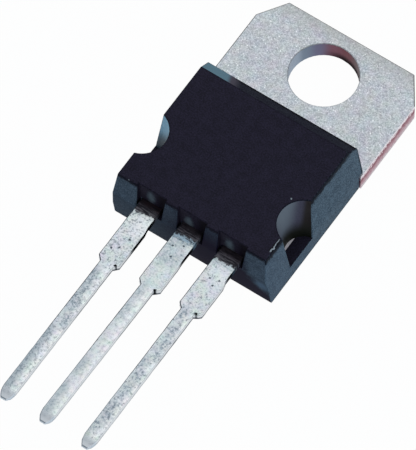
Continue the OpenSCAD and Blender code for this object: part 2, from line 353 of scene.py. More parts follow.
def shadedEnd(tree, where, place, colour):
    # painted shade below the parting line, with a painted reflection low on the right-hand block; painted shade
    # between the leads, strongest low down, and less of it on the outer blocks
    plan = epoxyPlan["end"]
    under = addNode(tree, "MapRange", {"From": plan["underFrom"], "To Max": plan["underShare"]},
                    {"Value": place["Z"]})
    flat = addNode(tree, "CombineXYZ", links={0: place["X"], 1: place["Z"]})
    reflectedLight = spotsAt(tree, flat, plan["reflectedLightAt"], plan["reflectedLightRadius"], soft=0.8)
    cloud = addNode(tree, "TexNoise", epoxyPlan["cloud"], {"Vector": where})
    low = addNode(tree, "Math", {"operation": "MINIMUM", 1: plan["parting"]}, {0: place["Z"]})
    slanted = addNode(tree, "Math", {**scaledSum, 1: plan["slant"]}, {0: low, 2: place["X"]})
    wavy = addNode(tree, "Math", {**scaledSum, 1: plan["wave"]}, {0: cloud, 2: slanted})
    after = addNode(tree, "MapRange", {**smooth, "From": plan["shadeLeft"]}, {"Value": place["X"]})
    before = addNode(tree, "MapRange", {**smooth, "From": plan["shadeRight"]}, {"Value": wavy})
    shadeBetweenLeads = addNode(tree, "Math", product, {0: after, 1: before})
    thick = addNode(tree, "MapRange", {"From": plan["thickFrom"], "To": plan["thick"]}, {"Value": place["Z"]})
    shadeBetweenLeads = addNode(tree, "Math", product, {0: shadeBetweenLeads, 1: thick})
    for layer, share in (("under", under), ("reflectedLight", reflectedLight), ("shadeBetweenLeads", shadeBetweenLeads)):
        colour = addNode(tree, "Mix", {**paint, "B": plan[layer]}, {"Factor": share, "A": colour})
    rough = addNode(tree, "TexNoise", epoxyPlan["torn"], {"Vector": where})
    high = addNode(tree, "Math", {**scaledSum, 1: plan["ragged"]}, {0: rough, 2: place["Z"]})
    return paintLayer(tree, colour, plan["border"], high)


def shadedPocket(tree, where, place, colour):
    # smoke-black like the front, with a ragged painted highlight behind each lead, taller than wide; painted shade
    # right of each lead, and in the angle beside the first
    plan = epoxyPlan["pocket"]
    squeeze, shake = plan["squeeze"], plan["shake"]
    flat = addNode(tree, "CombineXYZ", links={0: place["X"], 1: place["Z"]})
    rough = addNode(tree, "TexNoise", plan["rough"], {"Vector": where})
    tall = addNode(tree, "VectorMath", {**product, 1: (1, squeeze, 1)}, {0: flat})
    shaken = addNode(tree, "VectorMath", {**scaledSum, 1: (shake, shake, 0)}, {0: rough.outputs["Color"], 2: tall})
    spots = [(x + shake / 2, z * squeeze + shake / 2) for x, z in plan["litPatches"]]
    litPatch = spotsAt(tree, shaken, spots, plan["litPatchRadius"], soft=0.8)
    colour = addNode(tree, "Mix", {**paint, "B": plan["litPatch"]}, {"Factor": litPatch, "A": colour})
    across = addNode(tree, "Math", acrossLead, {0: place["X"]})
    colour = paintLayer(tree, colour, plan["right"], across)
    first = addNode(tree, "MapRange", {**smooth, "From": plan["cornerX"]}, {"Value": place["X"]})
    cornerShade = addNode(tree, "MapRange", {**smooth, "From": plan["cornerY"]}, {"Value": place["Y"]})
    cornerShade = addNode(tree, "Math", product, {0: first, 1: cornerShade})
    return addNode(tree, "Mix", {**paint, "B": plan["cornerShade"]}, {"Factor": cornerShade, "A": colour})


epoxyMarks = {"face": chippedFace, "edge": wornEdge, "wall": raggedWall, "step": highlightedStep, "notch": hollowNotch,
              "end": shadedEnd, "pocket": shadedPocket}


def mouldedEpoxy(kind):
    plan = epoxyPlan[kind]
    material, tree = newMaterial("moulded_epoxy_" + kind)
    where, place = inMillimetres(tree)
    grain = addNode(tree, "TexNoise", epoxyPlan["grain"], {"Vector": where})
    cloud = addNode(tree, "TexNoise", epoxyPlan["cloud"], {"Vector": where})
    level = addNode(tree, "Math", {**scaledSum, 1: epoxyPlan["cloudShare"]}, {0: cloud, 2: grain})
    share = addNode(tree, "MapRange", {**smooth, "From": epoxyPlan["paleFrom"]}, {"Value": level})
    colour = addNode(tree, "Mix", {**paint, "A": plan["colour"], "B": plan["pale"]}, {"Factor": share})
    colour = epoxyMarks[kind](tree, where, place, colour)
    bump = addNode(tree, "Bump", epoxyPlan["bump"], {"Height": grain})
    skin = addNode(tree, "BsdfPrincipled", {"Roughness": plan["roughness"], "Specular IOR Level": plan["gloss"]},
                   {"Base Color": colour, "Normal": bump})
    addNode(tree, "OutputMaterial", links={"Surface": skin})
    return material


# Copper sheet, bead-blasted and nickel plated: even satin grey with a fine sparkle, warmer towards its free end.
# Its pits are 0.03 to 0.06 mm; drawn at 0.055 so that they show. What the side notches lay bare of the spreader is a
# dull film, not metal, made near white: a painted highlight standing in for the light it catches inside the notch.
nickelPlan = {"bright": "#c1c6cb", "dull": "#91969c", "sparkle": "#e6e9eb", "sparkleFrom": (0.965, 1.0),
              "sparkleShare": 0.8, "grain": 0.055, "blotch": 0.6, "blotchShare": 0.18, "roughness": 0.42,
              "bump": {"Strength": 0.25, "Distance": 0.01 * mm}, "warm": ("#8d8d87", (1.5, 2.75), 0.4),
              "bare": "#fff6fa", "bareX": (3.4, 3.6), "bareY": (-8.0, -8.2)}


def mattNickel():
    plan = nickelPlan
    material, tree = newMaterial("matt_nickel_plate")
    where, place = inMillimetres(tree)
    grain = addNode(tree, "TexVoronoi", {"Scale": 1 / plan["grain"]}, {"Vector": where})
    pits = addNode(tree, "SeparateColor", links={0: grain.outputs["Color"]}).outputs
    colour = addNode(tree, "Mix", {**paint, "A": plan["dull"], "B": plan["bright"]}, {"Factor": pits[0]})
    # painted glints: the brightest grains are made near white
    glint = addNode(tree, "MapRange", {"From": plan["sparkleFrom"], "To Max": plan["sparkleShare"]},
                    {"Value": pits[2]})
    colour = addNode(tree, "Mix", {**paint, "B": plan["sparkle"]}, {"Factor": glint, "A": colour})
    blotch = addNode(tree, "TexNoise", {"Scale": 1 / plan["blotch"], "Detail": 3.0}, {"Vector": where})
    colour = addNode(tree, "Mix", {**paint, "blend_type": "SOFT_LIGHT", "Factor": plan["blotchShare"]},
                     {"A": colour, "B": blotch.outputs["Color"]})
    colour = paintLayer(tree, colour, plan["warm"], place["Y"])
    # the film laid bare in the notches is near white and not metal: a painted highlight
    side = addNode(tree, "Math", {"operation": "ABSOLUTE"}, {0: place["X"]})
    bare = addNode(tree, "MapRange", {"From": plan["bareX"]}, {"Value": side})
    inner = addNode(tree, "MapRange", {"From": plan["bareY"]}, {"Value": place["Y"]})
    bare = addNode(tree, "Math", product, {0: bare, 1: inner})
    colour = addNode(tree, "Mix", {**paint, "B": plan["bare"]}, {"Factor": bare, "A": colour})
    metal = addNode(tree, "MapRange", {"To": (1.0, 0.0)}, {"Value": bare})
    bump = addNode(tree, "Bump", plan["bump"], {"Height": pits[1]})
    skin = addNode(tree, "BsdfPrincipled", {"Roughness": plan["roughness"]},
                   {"Base Color": colour, "Metallic": metal, "Normal": bump})
    addNode(tree, "OutputMaterial", links={"Surface": skin})
    return material


# Stamped wall of the tab: sheared copper under a thin flash of nickel. The hole's wall goes from steel blue to
# maroon,
# from left to right: painted reflection and shade, pale where it faces the light and dark where it faces away; the
# outer wall is pale pink below a red line and a bright torn lip, from foot to top. The hole's wall is darker at its
# foot on the right, and that foot and the wall's right end are dull and not metal; at the right end this is painted
# shade.
shearedPlan = {
    "hole": (("#98a7b8", -1.92), ("#77879a", -1.75), ("#6d6b87", -1.28), ("#7a4c5c", -0.6), ("#6a2635", 0.2),
             ("#4c1c26", 1.0), ("#3a141c", 1.6)),
    "side": (("#d8cdd0", 0.05), ("#c4a0a8", 0.3), ("#b88e98", 0.5), ("#93485a", 0.74), ("#874354", 0.9),
             ("#f4e6ea", 1.07), ("#f8f2f5", 1.27)),
    "torn": {**ragged, "Scale": 1 / 0.16}, "ragged": 1.2, "roughness": 0.4, "holeReach": (2.1, 2.0),
    "darkFoot": "#2c1a1f", "darkFootFrom": (0.75, 0.15), "darkFootShare": 0.88, "darkFootRight": (-1.3, 0.2),
    "dullRight": (1.1, 1.8), "dullShare": 0.6}


def throughStops(tree, stops, along):
    # a colour that goes from stop to stop along a value
    colour = None
    for (first, before), (second, at) in zip(stops, stops[1:]):
        part = addNode(tree, "MapRange", {**smooth, "From": (before, at)}, {"Value": along})
        reached = {"A": colour} if colour else {}
        colour = addNode(tree, "Mix", {**paint, "A": first, "B": second}, {"Factor": part, **reached})
    return colour


def shearedCopper():
    plan = shearedPlan
    material, tree = newMaterial("sheared_copper_wall")
    where, place = inMillimetres(tree)
    rough = addNode(tree, "TexNoise", plan["torn"], {"Vector": where})
    middling = addNode(tree, "Math", {"operation": "SUBTRACT", 1: 0.5}, {0: rough})
    high = addNode(tree, "Math", {**scaledSum, 1: plan["ragged"]}, {0: middling, 2: place["Z"]})
    side = throughStops(tree, plan["side"], high)
    # the hole's wall, steel blue to maroon from left to right, is painted reflection and shade
    hole = throughStops(tree, plan["hole"], place["X"])
    low = addNode(tree, "MapRange", {**smooth, "From": plan["darkFootFrom"], "To Max": plan["darkFootShare"]},
                  {"Value": place["Z"]})
    right = addNode(tree, "MapRange", {**smooth, "From": plan["darkFootRight"]}, {"Value": place["X"]})
    darkFoot = addNode(tree, "Math", product, {0: low, 1: right})
    hole = addNode(tree, "Mix", {**paint, "B": plan["darkFoot"]}, {"Factor": darkFoot, "A": hole})
    flat = addNode(tree, "VectorMath", {**product, 1: (1, 1, 0)}, {0: where})
    far = addNode(tree, "VectorMath", {"operation": "LENGTH"}, {0: flat}).outputs["Value"]
    inHole = addNode(tree, "MapRange", {"From": plan["holeReach"]}, {"Value": far})
    colour = addNode(tree, "Mix", paint, {"Factor": inHole, "A": side, "B": hole})
    # the hole wall's right end is made dull and not metal: painted shade
    dullPart = addNode(tree, "MapRange", {**smooth, "From": plan["dullRight"], "To Max": plan["dullShare"]},
                    {"Value": place["X"]})
    dullPart = addNode(tree, "Math", larger, {0: dullPart, 1: darkFoot})
    dullPart = addNode(tree, "Math", product, {0: dullPart, 1: inHole})
    metal = addNode(tree, "MapRange", {"To": (1.0, 0.0)}, {"Value": dullPart})
    skin = addNode(tree, "BsdfPrincipled", {"Roughness": plan["roughness"], "Specular IOR Level": 0.0},
                   {"Base Color": colour, "Metallic": metal})
    addNode(tree, "OutputMaterial", links={"Surface": skin})
    return material


# Copper lead hot-dipped in tin: bright and finely mottled, with dull bluish drag marks on the narrow part, pinholes,
# and resin from the moulding, burnt nearly black, where the lead comes out. The tin's crystals are 0.05 to 0.2 mm.
tinPlan = {
    "roughness": 0.35, "bump": {"Strength": 0.3, "Distance": 0.01 * mm},
    "crystal": {"Scale": 1 / 0.11, "Detail": 2.0, "Roughness": 0.5},
    "coarse": {"Scale": 1 / 0.2, "Detail": 2.0, "Roughness": 0.6}, "narrowFrom": (-16.2, -17.2),
    "wide": "#bbc1c4", "bright": "#cdd1d2", "dullNarrow": "#a8aeb1", "brightFrom": (0.25, 0.6),
    "tint": 0.45, "tintShare": 0.3, "shade": "#8d99a2", "shadeFrom": (0.35, -0.35),
    "band": "#dce0e2", "bandSide": (-0.4, 0.45), "bandLeast": 0.3, "bandFrom": (-15.0, -14.0),
    "grit": {"Scale": 1 / 0.13, "Detail": 2.0, "Roughness": 0.6}, "gritFrom": (0.38, 0.62), "gritLeast": 0.25,
    "smearFrom": (-20.0, -21.5), "drawn": 0.5, "dragRadius": 0.26, "speck": "#6a727a", "speckFade": 0.1,
    "speckShare": 0.75, "pit": "#434b53", "pitRadius": 0.06, "flank": ("#f3f5f7", (3.17, 3.1), 0.8),
    "cluster": {"Scale": 1 / 0.75, "Detail": 4.0, "Roughness": 0.6}, "clusterHeight": 0.3,
    "rim": "#3d4957", "rimFrom": (3.12, 3.04), "rimFade": (-21.0, -19.0), "rimShare": (0.35, 0.95),
    "top": (3.19, 3.17), "darkSide": "#090a0e", "darkSideFrom": (3.38, 3.32), "darkSideFade": 0.3, "cornerRadius": 0.08,
    "tip": "#e4ebf2", "tipFrom": (-25.5, -25.75), "tipShare": 0.5,
    "resinGrain": {"Scale": 1 / 0.2, "Detail": 4.0, "Roughness": 0.8}, "resinRagged": 0.9, "stainFrom": (-0.04, 0.04),
    "resin": ("#302d33", "#5c565e"), "resinThin": ("#36353b", "#7a777c"), "thinFrom": (0.55, 0.05),
    "resinWarm": "#3a1c20", "mouthFrom": (-12.9, -12.6), "resinDeep": ("#0d0b10", (-12.9, -12.6), 0.65),
    "streak": {"Scale": 1 / 0.5, "Detail": 4.0, "Roughness": 0.6}, "streakWay": (1.0, 6.0, 1.0),
    "streakFrom": (0.4, 0.65), "film": "#8298a8", "filmFrom": (-0.4, -0.1), "filmLine": "#2f3a43",
    "filmLineFrom": (0.54, 0.6),
}
leadPlans = {
    "inputLead": {
        "node": "input_lead", "dull": "#939ba1", "blue": "#7b8891", "shade": 0.5, "band": 0.45, "specks": 0.55,
        "farSpecks": 0.8, "smeared": 0.65, "film": 0.0, "warm": 0.8,
        "pits": ((-0.32, -15.8), (0.02, -15.56), (0.22, -14.87)),
        "drags": ((-0.22, -17.7), (-0.16, -18.5), (-0.2, -19.3), (-0.02, -19.7), (0.2, -20.6), (-0.3, -21.9),
                  (-0.3, -22.9), (-0.27, -23.6), (-0.27, -24.4), (-0.2, -25.2)),
        "cornerShade": (0.46, -16.57), "resinEnd": -13.2, "resinSlope": 0.12, "darkSideEnd": -15.4, "lean": 0.1,
        "edgeStep": (-12.3, -14.1, -0.06)},
    "centreLead": {
        "node": "heat_tab", "dull": "#9ea6ab", "blue": "#8c989f", "shade": 0.45, "band": 0.1, "specks": 0.6,
        "farSpecks": 0.6, "smeared": 0.5, "film": 0.9, "warm": 0.2,
        "pits": ((-0.27, -13.9), (0.02, -14.5), (0.24, -13.62)),
        "drags": ((-0.3, -13.6), (0.1, -13.4), (-0.35, -14.05), (0.05, -14.35), (0.35, -14.45), (-0.15, -14.75),
                  (-0.2, -17.0), (-0.25, -18.4), (-0.3, -22.4), (-0.3, -24.2), (-0.25, -25.2)),
        "cornerShade": (0.45, -16.63), "resinEnd": -13.15, "resinSlope": 0.08, "darkSideEnd": -14.6, "lean": 0.6,
        "edgeStep": (-14.6, -16.7, 0.03)},
    "outputLead": {
        "node": "output_lead", "dull": "#9ca4aa", "blue": "#828e98", "shade": 0.32, "band": 0.25, "specks": 0.575,
        "farSpecks": 1.0, "smeared": 0.3, "film": 0.3, "warm": 0.3,
        "pits": ((-0.12, -14.42), (0.24, -14.72), (0.38, -14.3)),
        "drags": ((-0.1, -17.0), (0.05, -18.2), (0.1, -18.7), (0.05, -19.3), (0.2, -19.6), (-0.15, -20.5),
                  (0.0, -21.3), (-0.05, -22.4), (-0.1, -23.6), (-0.05, -24.2), (-0.2, -24.8)),
        "cornerShade": (0.47, -16.6), "resinEnd": -13.27, "resinSlope": 0.05, "darkSideEnd": -14.1, "lean": 0.1,
        "edgeStep": (-14.15, -16.7, 0.09)},
}


def mottledTin(tree, plan, where, across, flat, place):
    # the bare tin: fine crystals on the wide part, coarser on the narrow part, which is shaded on its left;
    # thicker and whiter along the right-hand side near the moulding; drag marks, grit between them, and pinholes
    tin = tinPlan
    fine, coarse = (addNode(tree, "TexNoise", tin[size], {"Vector": where}) for size in ("crystal", "coarse"))
    narrow = addNode(tree, "MapRange", {**smooth, "From": tin["narrowFrom"]}, {"Value": place["Y"]})
    mottle = addNode(tree, "Mix", links={"Factor": narrow, "A": fine, "B": coarse})
    share = addNode(tree, "MapRange", {**smooth, "From": tin["brightFrom"]}, {"Value": mottle})
    bright = addNode(tree, "Mix", {**paint, "A": tin["wide"], "B": tin["bright"]}, {"Factor": narrow})
    dull = addNode(tree, "Mix", {**paint, "A": plan["dull"], "B": tin["dullNarrow"]}, {"Factor": narrow})
    colour = addNode(tree, "Mix", paint, {"Factor": share, "A": dull, "B": bright})
    tint = addNode(tree, "TexNoise", {"Scale": 1 / tin["tint"], "Detail": 2.0}, {"Vector": where})
    colour = addNode(tree, "Mix", {**paint, "blend_type": "SOFT_LIGHT", "Factor": tin["tintShare"]},
                     {"A": colour, "B": tint.outputs["Color"]})
    left = addNode(tree, "MapRange", {**smooth, "From": tin["shadeFrom"], "To Max": plan["shade"]}, {"Value": across})
    left = addNode(tree, "Math", product, {0: left, 1: narrow})
    side = addNode(tree, "MapRange", {**smooth, "From": tin["bandSide"], "To Min": tin["bandLeast"]},
                   {"Value": across})
    thick = addNode(tree, "MapRange", {**smooth, "From": tin["bandFrom"], "To Max": plan["band"]},
                    {"Value": place["Y"]})
    thick = addNode(tree, "Math", product, {0: thick, 1: side})
    grit = addNode(tree, "TexNoise", tin["grit"], {"Vector": where})
    gritty = addNode(tree, "MapRange", {**smooth, "From": tin["gritFrom"], "To Min": tin["gritLeast"]},
                     {"Value": grit})
    smeared = addNode(tree, "MapRange", {**smooth, "From": tin["smearFrom"], "To Max": plan["smeared"]},
                      {"Value": place["Y"]})
    gritty = addNode(tree, "Math", larger, {0: gritty, 1: smeared})
    drawn = tin["drawn"]  # the marks are longer than wide
    long = addNode(tree, "VectorMath", {**product, 1: (1, drawn, 1)}, {0: flat})
    drags = spotsAt(tree, long, [(x, y * drawn) for x, y in plan["drags"]], tin["dragRadius"], soft=0.8)
    drags = addNode(tree, "Math", product, {0: drags, 1: gritty})
    ends = (plan["specks"], plan["specks"] + tin["speckFade"])
    specks = addNode(tree, "MapRange", {**smooth, "From": ends, "To Max": tin["speckShare"]}, {"Value": grit})
    fewer = addNode(tree, "MapRange", {"To": (1.0, plan["farSpecks"])}, {"Value": narrow})
    specks = addNode(tree, "Math", product, {0: specks, 1: fewer})
    pits = spotsAt(tree, flat, plan["pits"], tin["pitRadius"])
    for shade, mask in ((tin["shade"], left), (tin["band"], thick), (plan["blue"], drags), (tin["speck"], specks),
                        (tin["pit"], pits)):
        colour = addNode(tree, "Mix", {**paint, "B": shade}, {"Factor": mask, "A": colour})
    # the sides below the top are painted paler: painted light
    return paintLayer(tree, colour, tin["flank"], place["Z"]), fine


def darkenedTin(tree, plan, where, flat, place):
    # a dark line along the foot of the side; the whole side next to the moulding is darker, and a spot of painted
    # shade fills the shoulder's concave angle
    tin = tinPlan
    clusters = addNode(tree, "TexNoise", tin["cluster"], {"Vector": where})
    high = addNode(tree, "Math", {**scaledSum, 1: tin["clusterHeight"]}, {0: clusters, 2: place["Z"]})
    low = addNode(tree, "MapRange", {**smooth, "From": tin["rimFrom"]}, {"Value": high})
    fading = addNode(tree, "MapRange", {**smooth, "From": tin["rimFade"], "To": tin["rimShare"]},
                     {"Value": place["Y"]})
    rim = addNode(tree, "Math", product, {0: low, 1: fading})
    belowTop = addNode(tree, "MapRange", {"From": tin["top"]}, {"Value": place["Z"]})
    wholeSide = addNode(tree, "MapRange", {**smooth, "From": tin["darkSideFrom"]}, {"Value": high})
    wholeSide = addNode(tree, "Math", product, {0: wholeSide, 1: belowTop})
    ends = (plan["darkSideEnd"] - tin["darkSideFade"], plan["darkSideEnd"] + tin["darkSideFade"])
    near = addNode(tree, "MapRange", {**smooth, "From": ends}, {"Value": place["Y"]})
    darkSide = addNode(tree, "Math", product, {0: wholeSide, 1: near})
    # painted shade in the shoulder's concave angle
    cornerShade = spotsAt(tree, flat, [plan["cornerShade"]], tin["cornerRadius"])
    return rim, addNode(tree, "Math", larger, {0: darkSide, 1: cornerShade})


def burntResin(tree, plan, where, across, place, colour):
    # dark resin with a ragged edge that slants across the lead; a blue film beyond it, strongest on the centre lead
    tin = tinPlan
    rough = addNode(tree, "TexNoise", tin["resinGrain"], {"Vector": where})
    slope = addNode(tree, "Math", {**scaledSum, 1: -plan["resinSlope"]}, {0: across, 2: place["Y"]})
    edge = addNode(tree, "Math", {**scaledSum, 1: tin["resinRagged"]}, {0: rough, 2: slope})
    end = plan["resinEnd"] + tin["resinRagged"] / 2
    streaky = addNode(tree, "VectorMath", {**product, 1: tin["streakWay"]}, {0: where})
    streaks = addNode(tree, "TexNoise", tin["streak"], {"Vector": streaky})
    film, outer, stain = (
        addNode(tree, "MapRange", {**smooth, "From": [end + at for at in tin[reach]], "To Max": most},
                {"Value": edge})
        for reach, most in (("filmFrom", plan["film"]), ("thinFrom", 1.0), ("stainFrom", 1.0)))
    lines = addNode(tree, "MapRange", {**smooth, "From": tin["filmLineFrom"]}, {"Value": streaks})
    lines = addNode(tree, "Math", product, {0: lines, 1: film})
    for shade, mask in ((tin["film"], film), (tin["filmLine"], lines)):
        colour = addNode(tree, "Mix", {**paint, "B": shade}, {"Factor": mask, "A": colour})
    share = addNode(tree, "MapRange", {**smooth, "From": tin["streakFrom"]}, {"Value": streaks})
    resin, thin = (addNode(tree, "Mix", {**paint, "A": tin[kind][0], "B": tin[kind][1]}, {"Factor": share})
                   for kind in ("resin", "resinThin"))
    inner = addNode(tree, "MapRange", {**smooth, "From": tin["mouthFrom"], "To Max": plan["warm"]},
                    {"Value": place["Y"]})
    warm = addNode(tree, "Math", product, {0: inner, 1: share})
    resin = addNode(tree, "Mix", {**paint, "B": tin["resinWarm"]}, {"Factor": warm, "A": resin})
    resin = paintLayer(tree, resin, tin["resinDeep"], place["Y"])
    resin = addNode(tree, "Mix", paint, {"Factor": outer, "A": resin, "B": thin})
    return addNode(tree, "Mix", paint, {"Factor": stain, "A": colour, "B": resin}), stain


def dippedTin(name):
    plan, tin = leadPlans[name], tinPlan
    material, tree = newMaterial("hot_dipped_tin_" + name)
    where, place = inMillimetres(tree)
    across = addNode(tree, "Math", acrossLead, {0: place["X"]})
    flat = addNode(tree, "CombineXYZ", links={0: across, 1: place["Y"]})
    colour, fine = mottledTin(tree, plan, where, across, flat, place)
    rim, darkSide = darkenedTin(tree, plan, where, flat, place)
    # the flattened tip is painted pale and made not metal: a painted highlight
    tip = addNode(tree, "MapRange", {**smooth, "From": tin["tipFrom"], "To Max": tin["tipShare"]},
                  {"Value": place["Y"]})
    for shade, mask in ((tin["rim"], rim), (tin["darkSide"], darkSide), (tin["tip"], tip)):
        colour = addNode(tree, "Mix", {**paint, "B": shade}, {"Factor": mask, "A": colour})
    colour, stain = burntResin(tree, plan, where, across, place, colour)
    # resin, the darker side and the tip are dull and not metal; the flattened tip's pale, non-metal finish is a
    # painted highlight
    notMetal = addNode(tree, "Math", larger, {0: stain, 1: darkSide})
    notMetal = addNode(tree, "Math", larger, {0: notMetal, 1: tip})
    metal = addNode(tree, "MapRange", {"To": (1.0, 0.0)}, {"Value": notMetal})
    bump = addNode(tree, "Bump", tin["bump"], {"Height": fine})
    skin = addNode(tree, "BsdfPrincipled", {"Roughness": tin["roughness"], "Specular IOR Level": 0.0},
                   {"Base Color": colour, "Metallic": metal, "Normal": bump})
    addNode(tree, "OutputMaterial", links={"Surface": skin})
    return material


# Shaded edges: painted shade on the stamping's rounded far edges, a dull brown-grey line with bright nicks, and on
# the leads' rounded top edges, a dark line, less so towards the tips
shadedEdges = {
    "shaded_nickel_edge": {"colours": ("#26262a", "#6d6c69"), "noise": {**ragged, "Scale": 1 / 0.14},
                            "pale": {"From": (0.35, 0.65)}, "roughness": 0.5},
    "shaded_tin_edge": {"colours": ("#353b43", "#7d8890"), "far": ("#a2adb7", (-20.5, -22.5), 0.7), "roughness": 0.45,
                      "noise": {"Scale": 1 / 0.4, "Detail": 4.0, "Roughness": 0.75},
                      "pale": {**smooth, "From": (0.5, 0.7)}},
}


def shadedEdge(name):
    plan = shadedEdges[name]
    material, tree = newMaterial(name)
    where, place = inMillimetres(tree)
    rough = addNode(tree, "TexNoise", plan["noise"], {"Vector": where})
    share = addNode(tree, "MapRange", plan["pale"], {"Value": rough})
    dark, pale = plan["colours"]
    colour = addNode(tree, "Mix", {**paint, "A": dark, "B": pale}, {"Factor": share})
    if "far" in plan:
        colour = paintLayer(tree, colour, plan["far"], place["Y"])
    skin = addNode(tree, "BsdfPrincipled", {"Metallic": 1.0, "Roughness": plan["roughness"]}, {"Base Color": colour})
    addNode(tree, "OutputMaterial", links={"Surface": skin})
    return material


# Inside the moulding, out of sight: sawn silicon, soft solder and drawn aluminium wire. Their grain is 0.005 to
# 0.02 mm and is drawn coarser so that it shows close up.
insidePlan = {
    "sawn_silicon": {"nodes": ("chip",), "colours": ("#33383f", "#626a74"), "grain": (0.02, 0.4, 0.4),
                     "skin": {"Metallic": 0.0, "Roughness": 0.25, "IOR": 3.9}},
    "soft_solder": {"nodes": ("chip_solder",), "colours": ("#85878a", "#b9bbbd"), "grain": (0.06, 0.06, 0.06),
                    "skin": {"Metallic": 1.0, "Roughness": 0.4}},
    "drawn_aluminium_wire": {"nodes": ("input_wire", "output_wire", "ground_wire"), "colours": ("#c3c4c6", "#e4e5e6"),
                             "grain": (0.04, 0.04, 0.3), "skin": {"Metallic": 1.0, "Roughness": 0.3}},
}


def finishInside(name, plan):
    material, tree = newMaterial(name)
    where = inMillimetres(tree)[0]
    grains = tuple(1 / size for size in plan["grain"])
    fine = addNode(tree, "VectorMath", {**product, 1: grains}, {0: where})
    grain = addNode(tree, "TexNoise", {"Scale": 1.0, "Detail": 2.0}, {"Vector": fine})
    share = addNode(tree, "MapRange", {"From": (0.3, 0.7)}, {"Value": grain})
    dark, pale = plan["colours"]
    colour = addNode(tree, "Mix", {**paint, "A": dark, "B": pale}, {"Factor": share})
    bump = addNode(tree, "Bump", {"Strength": 0.2, "Distance": 0.005 * mm}, {"Height": grain})
    skin = addNode(tree, "BsdfPrincipled", plan["skin"], {"Base Color": colour, "Normal": bump})
    addNode(tree, "OutputMaterial", links={"Surface": skin})
    for node in plan["nodes"]:
        for slot in nodes[node].material_slots:
            slot.material = material


epoxyKinds = list(epoxyMarks)
epoxies = [mouldedEpoxy(kind) for kind in epoxyKinds]
nickel, sheared = mattNickel(), shearedCopper()
nickelEdgeShade, tinEdgeShade = shadedEdge("shaded_nickel_edge"), shadedEdge("shaded_tin_edge")
for name, plan in insidePlan.items():
    finishInside(name, plan)
print("finishes mixed")


# Pieces

def selectOnly(piece):
    bpy.ops.object.select_all(action="DESELECT")
    piece.select_set(True)
    bpy.context.view_layer.objects.active = piece


def selectVertices(piece, wanted):
    selectOnly(piece)
    bpy.ops.object.mode_set(mode="EDIT")
    bpy.ops.mesh.select_mode(type="VERT")
    bpy.ops.mesh.select_all(action="DESELECT")
    mesh = bmesh.from_edit_mesh(piece.data)
    for vertex in mesh.verts:
        vertex.select_set(wanted(vertex.co))
    bmesh.update_edit_mesh(piece.data)


def copyOfNode(node, name, materials):
    # The exact solid's surface as a new piece, its loose triangles merged back into whole faces
    piece = bpy.data.objects.new(name, nodes[node].data.copy())
    scene.collection.objects.link(piece)
    piece.data.name = name
    piece.data.materials.clear()
    for material in materials:
        piece.data.materials.append(material)
    selectOnly(piece)
    bpy.ops.mesh.customdata_custom_splitnormals_clear()
    bpy.ops.object.mode_set(mode="EDIT")
    bpy.ops.mesh.select_all(action="SELECT")
    bpy.ops.mesh.remove_doubles(threshold=0.0005 * mm)
    bpy.ops.mesh.dissolve_limited(angle_limit=math.radians(0.3), delimit=set())
    bpy.ops.mesh.mark_sharp(clear=True)
    bpy.ops.mesh.select_all(action="DESELECT")
    bpy.ops.object.mode_set(mode="OBJECT")
    return piece


def cutAcross(piece, y, **side):
    # A straight cut across the part at y; side tells bisect which part to clear and whether to fill
    selectOnly(piece)
    bpy.ops.object.mode_set(mode="EDIT")
    bpy.ops.mesh.select_all(action="SELECT")
    bpy.ops.mesh.bisect(plane_co=(0, y, 0), plane_no=(0, 1, 0), **side)
    bpy.ops.object.mode_set(mode="OBJECT")


# an edge counts as sharp above sharpAngle; smoothAngle is under the 22.5 degrees of a rounded edge's steps, so that
# flats stay flat
edgePlan = {"sharpAngle": math.radians(22), "smoothAngle": math.radians(20)}


def roundEdges(piece, width, wanted, slot=-1, segments=2):
    # Rounds the sharp edges that wanted(edge, middle) picks; slot is the material of the new faces
    selectOnly(piece)
    bpy.ops.object.mode_set(mode="EDIT")
    bpy.ops.mesh.select_mode(type="EDGE")
    bpy.ops.mesh.select_all(action="DESELECT")
    mesh = bmesh.from_edit_mesh(piece.data)
    for edge in mesh.edges:
        if len(edge.link_faces) == 2 and edge.calc_face_angle() > edgePlan["sharpAngle"]:
            edge.select_set(wanted(edge, (edge.verts[0].co + edge.verts[1].co) / 2))
    bmesh.update_edit_mesh(piece.data)
    bpy.ops.mesh.bevel(offset_type="OFFSET", offset=width, segments=segments, profile=0.5, affect="EDGES",
                       clamp_overlap=True, material=slot, miter_outer="SHARP", miter_inner="SHARP")
    bpy.ops.mesh.select_all(action="DESELECT")
    bpy.ops.object.mode_set(mode="OBJECT")


def handIn(piece, node):
    selectOnly(piece)
    bpy.ops.object.shade_smooth_by_angle(angle=edgePlan["smoothAngle"])
    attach(piece, "root")
    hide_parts(node)


mouldingPlan = {"edgeRadius": 0.05 * mm, "skin": 0.7 * mm, "rayStart": 0.002 * mm, "notchX": 5.1 * mm,
                "notchY": -9.62 * mm, "notchReach": 1.5 * mm, "partingZ": 2.7 * mm, "pocketZ": 0.85 * 2.7 * mm,
                "pocketDepth": 0.36 * mm, "pocketBack": 0.5 * mm, "pocketsReach": 3.6 * mm,
                # how much of a face's normal has to point that way
                "level": 0.95, "upright": 0.5, "leaning": 0.4, "across": 0.8, "hollow": 0.85}


